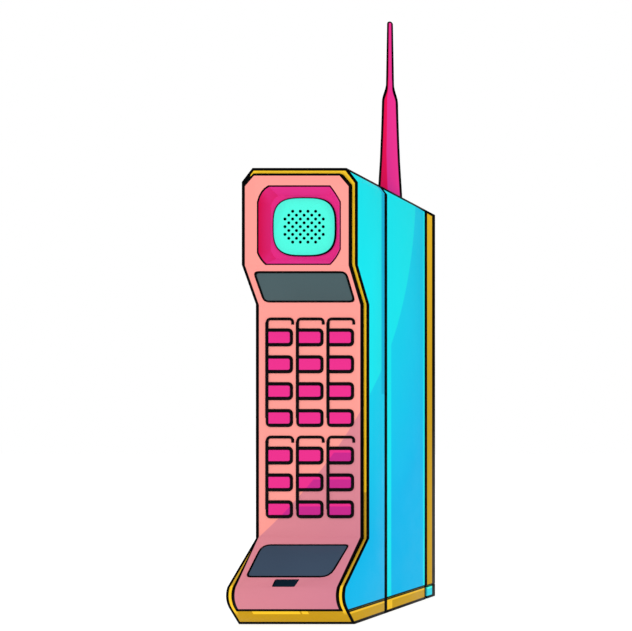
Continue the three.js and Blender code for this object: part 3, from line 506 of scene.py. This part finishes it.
def antenna_paint(shader):
    """Painted crimson shade on the left, magenta on the right, with a black outline all round."""
    normal = shader.node("ShaderNodeNewGeometry").outputs["Normal"]
    rightwards = shader.node("ShaderNodeSeparateXYZ", {0: normal}).outputs[0]
    length = WHIP_HIGH.z - WHIP_LOW.z
    shoulder_foot = WHIP_LOW.z + 0.55 * length
    shoulder_top = WHIP_LOW.z + 0.68 * length
    turn = shader.remap(shader.z, WHIP_LOW.z, WHIP_LOW.z + 0.25 * length, 0.28, 0.08)
    # painted crimson shade on the side turned away from the light
    left = shader.below(shader.math("SUBTRACT", rightwards, turn), 0.0, 0.02)
    colour = shader.mix(left, MAGENTA, ANTENNA_CRIMSON_SHADE)
    grazing = shader.node("ShaderNodeLayerWeight", {"Blend": 0.5}).outputs["Facing"]
    sheath = shader.remap(shader.z, WHIP_LOW.z, shoulder_foot, 0.43, 0.32)
    thinner = shader.remap(shader.z, shoulder_foot, shoulder_top, 0.0, 0.15)
    limit = shader.math("SUBTRACT", sheath, thinner)
    return inked(shader, colour, shader.above(shader.math("SUBTRACT", grazing, limit), 0.0, 0.03))


SLOT_MATERIALS = {
    "pink_plastic": plastic("pink_plastic", pink_paint),
    "cyan_plastic": plastic("cyan_plastic", cyan_paint),
    "gold_plastic": plastic("gold_plastic", bezel_paint, roughness=0.42),
    "magenta_plastic": plastic("magenta_plastic", well_paint),
    "magenta_rubber": plastic("antenna_rubber", antenna_paint, roughness=0.6),
    "key_plastic": plastic("key_plastic", key_paint, roughness=0.45, grain=0.08),
    "mint_plastic": plastic("mint_plastic", grille_paint),
    "black_rubber": rubber("black_rubber", BLACK),
    "black_plastic": plastic("black_plastic", BLACK, specular=0.08, drift=0.3),
    "smoked_lens": lens("smoked_lens", SMOKE),
    "navy_lens": lens("navy_lens", NAVY),
    "navy_mesh": plastic("mic_mesh", DEEP_NAVY, specular=0.05, drift=0.1),
    "circuit_board": circuit_board("board_laminate"),
    "steel": metal("steel", STEEL, 0.25),
    "brass": metal("brass", BRASS, 0.22),
    "cell_sleeve": plastic("cell_sleeve", SLEEVE_BLUE, roughness=0.3, grain=0.05),
}
NODE_MATERIALS = {
    "front_bumper": plastic("bumper_gold", bumper_paint, roughness=0.42),
    "back_cover": plastic("cover_gold", cover_paint, roughness=0.42),
    "battery_latch": plastic("latch_mint", latch_paint),
}
NODE_MATERIALS["rear_bumper"] = NODE_MATERIALS["front_bumper"]
NODE_SLOTS = {row["node"]: row["material_slot"] for row in frame["record"]["subparts"]}


# ---------------------------------------------------------------------------------------
# Edges: rounding and smooth shading
# ---------------------------------------------------------------------------------------

SMOOTH_ANGLE = math.radians(42)
SHARP_ANGLE = math.radians(38)
EDGE_WIDTHS = {
    "front_case": 0.12,
    "rear_case": 0.12,
    "front_bumper": 0.12,
    "rear_bumper": 0.12,
    "back_cover": 0.15,
    "battery_latch": 0.15,
    "face_panel": 0.15,
    "earpiece_grille": 0.04,
    "battery_case": 0.6,
}
PLAIN_EDGE = 0.06


def smooth_group():
    """Geometry nodes that shade faces smooth, with edges over SMOOTH_ANGLE kept crisp."""
    group = bpy.data.node_groups.new("smooth_by_angle", "GeometryNodeTree")
    for direction in ("INPUT", "OUTPUT"):
        group.interface.new_socket("Geometry", in_out=direction, socket_type="NodeSocketGeometry")
    graph = Graph(group)
    entry = graph.node("NodeGroupInput").outputs[0]
    faces = graph.node("GeometryNodeSetShadeSmooth", {"Geometry": entry})
    angle = graph.node("GeometryNodeInputMeshEdgeAngle").outputs["Unsigned Angle"]
    sharp = graph.node("FunctionNodeCompare", {0: angle, 1: SMOOTH_ANGLE}).outputs[0]
    sockets = {"Geometry": faces.outputs[0], "Selection": sharp, "Shade Smooth": False}
    edges = graph.node("GeometryNodeSetShadeSmooth", sockets, domain="EDGE")
    graph.node("NodeGroupOutput", {0: edges.outputs[0]})
    return group


SMOOTHING = smooth_group()


def smooth(piece):
    modifier = piece.modifiers.new("smooth", "NODES")
    modifier.node_group = SMOOTHING


def dress(node):
    """Gives a CAD node its finish, joins its split corners and rounds its edges."""
    piece = frame["nodes"][node]
    finish = NODE_MATERIALS.get(node, SLOT_MATERIALS[NODE_SLOTS[node]])
    piece.data.materials.clear()
    piece.data.materials.append(finish)
    weld = piece.modifiers.new("weld", "WELD")
    weld.merge_threshold = 0.001 * MM
    flat = piece.modifiers.new("flat", "DECIMATE")
    flat.decimate_type = "DISSOLVE"
    flat.angle_limit = math.radians(0.4)
    bevel = piece.modifiers.new("bevel", "BEVEL")
    bevel.width = EDGE_WIDTHS.get(node, PLAIN_EDGE) * MM
    bevel.segments = 2
    bevel.limit_method = "ANGLE"
    bevel.angle_limit = SHARP_ANGLE
    smooth(piece)


for node_name in frame["nodes"]:
    dress(node_name)


# ---------------------------------------------------------------------------------------
# Mesh building
# ---------------------------------------------------------------------------------------

def arc(centre, radius, start, end, steps):
    """Points from start to end angle, in degrees, ends included."""
    angles = [math.radians(start + (end - start) * i / steps) for i in range(steps + 1)]
    return [(centre[0] + radius * math.cos(a), centre[1] + radius * math.sin(a)) for a in angles]


def rounded_loop(width, height, left_radius, right_radius, steps=5):
    """A rectangle round the origin, anticlockwise, with the same count of points at each corner."""
    a, b = width / 2, height / 2
    corners = (
        (a, -b, right_radius, -90),
        (a, b, right_radius, 0),
        (-a, b, left_radius, 90),
        (-a, -b, left_radius, 180),
    )
    points = []
    for x, z, radius, start in corners:
        centre = (x - math.copysign(radius, x), z - math.copysign(radius, z))
        points += arc(centre, radius, start, start + 90, steps)
    return points


def loft(name, rings):
    """A closed mesh through rings of points; each ring has the same count."""
    mesh = bmesh.new()
    rings = [[mesh.verts.new(point) for point in ring] for ring in rings]
    for lower, upper in zip(rings, rings[1:]):
        for i in range(len(lower)):
            j = (i + 1) % len(lower)
            mesh.faces.new((lower[i], lower[j], upper[j], upper[i]))
    mesh.faces.new(list(reversed(rings[0])))
    mesh.faces.new(rings[-1])
    bmesh.ops.recalc_face_normals(mesh, faces=mesh.faces)
    data = bpy.data.meshes.new(name)
    mesh.to_mesh(data)
    mesh.free()
    piece = bpy.data.objects.new(name, data)
    scene.collection.objects.link(piece)
    return piece


def stand_for(piece, node, body):
    """Puts a finer piece in place of a CAD node, on the same body and finish."""
    slot = NODE_SLOTS[node]
    piece.data.materials.append(SLOT_MATERIALS[slot])
    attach(piece, body)
    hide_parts(node)
    smooth(piece)


# ---------------------------------------------------------------------------------------
# Keys: caps with rolled edges and a retaining flange
# ---------------------------------------------------------------------------------------

KEY_FLANGE = 0.8 * MM  # hidden behind the panel
KEY_ROLL = 0.25 * MM
KEY_RADII = (0.2 * MM, 0.85 * MM)


def key_cap(node):
    """A cap lofted from back to front: flange, straight walls, rolled front edge."""
    low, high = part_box(node)
    centre, size = (low + high) / 2, high - low
    width, height = size.x - 2 * KEY_FLANGE, size.z - 2 * KEY_FLANGE

    def ring(grow, y, radii):
        outline = rounded_loop(width + 2 * grow, height + 2 * grow, *radii)
        return [(centre.x + x, y, centre.z + z) for x, z in outline]

    def rolled(angle):
        inset = KEY_ROLL * (1 - math.cos(angle))
        radii = [max(radius - inset, 0.05 * MM) for radius in KEY_RADII]
        return ring(-inset, low.y + KEY_ROLL * (1 - math.sin(angle)), radii)

    square = (0.1 * MM, 0.1 * MM)
    steps = 4
    rings = [
        ring(KEY_FLANGE, high.y, square),
        ring(KEY_FLANGE, high.y - KEY_FLANGE, square),
        ring(0, high.y - KEY_FLANGE, KEY_RADII),
    ]
    rings += [rolled(math.pi / 2 * i / steps) for i in range(steps + 1)]
    return loft("keycap_" + node.removeprefix("key_"), rings)


for joint in frame["joints"]:
    if joint["child"].startswith("key_"):
        stand_for(key_cap(joint["child"]), joint["child"], joint["child"])


# ---------------------------------------------------------------------------------------
# Antenna sheath
# ---------------------------------------------------------------------------------------

def antenna_sheath():
    """A lathed sheath: moulded base ring, long taper, soft shoulder, thin whip, round tip."""
    centre = (WHIP_LOW + WHIP_HIGH) / 2
    length = WHIP_HIGH.z - WHIP_LOW.z
    base = (WHIP_HIGH.x - WHIP_LOW.x) / 2
    tip = 1.3 * MM
    waist, neck = 0.655, 0.325  # radii below and above the shoulder, as shares of the base's
    shoulder = (0.545, 0.652)  # its start and end, as shares of the length
    base_ring = ((0.0, 0.93), (0.004, 1.0), (0.02, 1.0))
    taper = ((0.1, 0.93), (0.22, 0.82), (0.34, 0.745), (0.45, 0.69))
    outline = [(base * width, length * z) for z, width in base_ring + taper]
    steps = 8
    for i in range(steps + 1):
        t = i / steps
        ease = t * t * (3 - 2 * t)
        z = shoulder[0] + (shoulder[1] - shoulder[0]) * t
        outline.append((base * (waist + (neck - waist) * ease), length * z))
    outline += arc((0, length - tip), tip, 0, 75, 4)
    segments = 48
    turns = [2 * math.pi * i / segments for i in range(segments)]
    rings = [
        [(centre.x + r * math.cos(a), centre.y + r * math.sin(a), WHIP_LOW.z + z) for a in turns]
        for r, z in outline
    ]
    return loft("antenna_sheath", rings)


stand_for(antenna_sheath(), "antenna_whip", "antenna")


# ---------------------------------------------------------------------------------------
# Studio: floor, lights, camera
# ---------------------------------------------------------------------------------------

AMBIENT = 0.92
GLOSS_AMBIENT = 0.05
FLOOR_GLOW = 0.8


def floor():
    """A wide pale floor, partly self-lit so that it stays white under the phone."""
    reach = 6.0
    corners = [(-reach, -reach, 0), (reach, -reach, 0), (reach, reach, 0), (-reach, reach, 0)]
    mesh = bpy.data.meshes.new("floor")
    mesh.from_pydata(corners, [], [(0, 1, 2, 3)])
    piece = bpy.data.objects.new("floor", mesh)
    scene.collection.objects.link(piece)
    shader = Shader("floor_paint")
    cloud = shader.remap(shader.noise(3, 2), 0.3, 0.7)
    shader.set(
        base_color=shader.mix(cloud, scaled(WHITE, 0.3), scaled(WHITE, 0.34)),
        roughness=0.9,
        specular_ior_level=0.0,
        emission_color=WHITE,
        emission_strength=FLOOR_GLOW,
    )
    mesh.materials.append(shader.material)


def ambient_light():
    """White all round: full to the camera, a little less on matt surfaces, dim in reflections."""
    world = bpy.data.worlds.new("studio")
    world.use_nodes = True
    world.cycles.sampling_method = "NONE"
    graph = Graph(world.node_tree)
    path = graph.node("ShaderNodeLightPath").outputs
    level = graph.remap(path["Is Glossy Ray"], 0, 1, AMBIENT, GLOSS_AMBIENT)
    background = world.node_tree.nodes["Background"]
    background.inputs["Color"].default_value = WHITE
    graph.feed(graph.either(path["Is Camera Ray"], level), background.inputs["Strength"])
    scene.world = world


def area_light(name, place, size, power):
    """A weak round lamp that points at the phone's middle."""
    data = bpy.data.lights.new(name, "AREA")
    data.shape = "DISK"
    data.size = size
    data.energy = power
    lamp = bpy.data.objects.new(name, data)
    lamp.location = place
    target = Vector((0, 0, HEIGHT / 2))
    lamp.rotation_euler = (target - lamp.location).to_track_quat("-Z", "Y").to_euler()
    lamp.visible_camera = False
    scene.collection.objects.link(lamp)


# Where the camera stands, and the point level with the panel that fills the frame's middle
EYE_RIGHT = 245 * MM
EYE_HEIGHT = 77.7 * MM
EYE_DISTANCE = 436.5 * MM
PANEL_RAISE = 2.1 * MM
AIM_X = 7.1 * MM
AIM_HEIGHT = 132.2 * MM
LENS = 57.9
SENSOR = 36
AWAY_FROM_HOME = 50 * MM  # past this the lens shift is off


def camera():
    """One-point perspective: the camera looks straight along +Y from the phone's right, and its
    lens is shifted to bring the phone into the frame, so that the face keeps its shape."""
    data = bpy.data.cameras.new("camera")
    data.lens = LENS
    data.sensor_width = SENSOR
    eye = bpy.data.objects.new("camera", data)
    eye.location = (EYE_RIGHT, FACE_Y + PANEL_RAISE - EYE_DISTANCE, EYE_HEIGHT)
    eye.rotation_euler = (math.pi / 2, 0, 0)
    scene.collection.objects.link(eye)
    scene.camera = eye
    per_metre = LENS / SENSOR / EYE_DISTANCE
    home = bpy.data.objects.new("camera_home", None)
    home.location = eye.location
    scene.collection.objects.link(home)
    shift_only_at(home, eye, "shift_x", (AIM_X - EYE_RIGHT) * per_metre)
    shift_only_at(home, eye, "shift_y", (AIM_HEIGHT - EYE_HEIGHT) * per_metre)


def shift_only_at(home, eye, channel, amount):
    """Drives a lens shift that holds while the camera stands at home, so that the same camera,
    set up anywhere else, looks straight ahead."""
    curve = eye.data.driver_add(channel)
    curve.driver.type = "SUM"
    gap = curve.driver.variables.new()
    gap.type = "LOC_DIFF"
    gap.targets[0].id = eye
    gap.targets[1].id = home
    for modifier in list(curve.modifiers):
        curve.modifiers.remove(modifier)
    for distance, value in ((0.0, amount), (AWAY_FROM_HOME, 0.0)):
        point = curve.keyframe_points.insert(distance, value)
        point.interpolation = "CONSTANT"


floor()
ambient_light()
area_light("key_light", place=(-0.55, -0.9, 0.75), size=0.5, power=0.9)
area_light("side_light", place=(0.9, -0.35, 0.5), size=0.6, power=0.8)
area_light("back_light", place=(-0.3, 0.9, 0.8), size=0.7, power=1.5)
camera()
scene.view_settings.view_transform = "Standard"
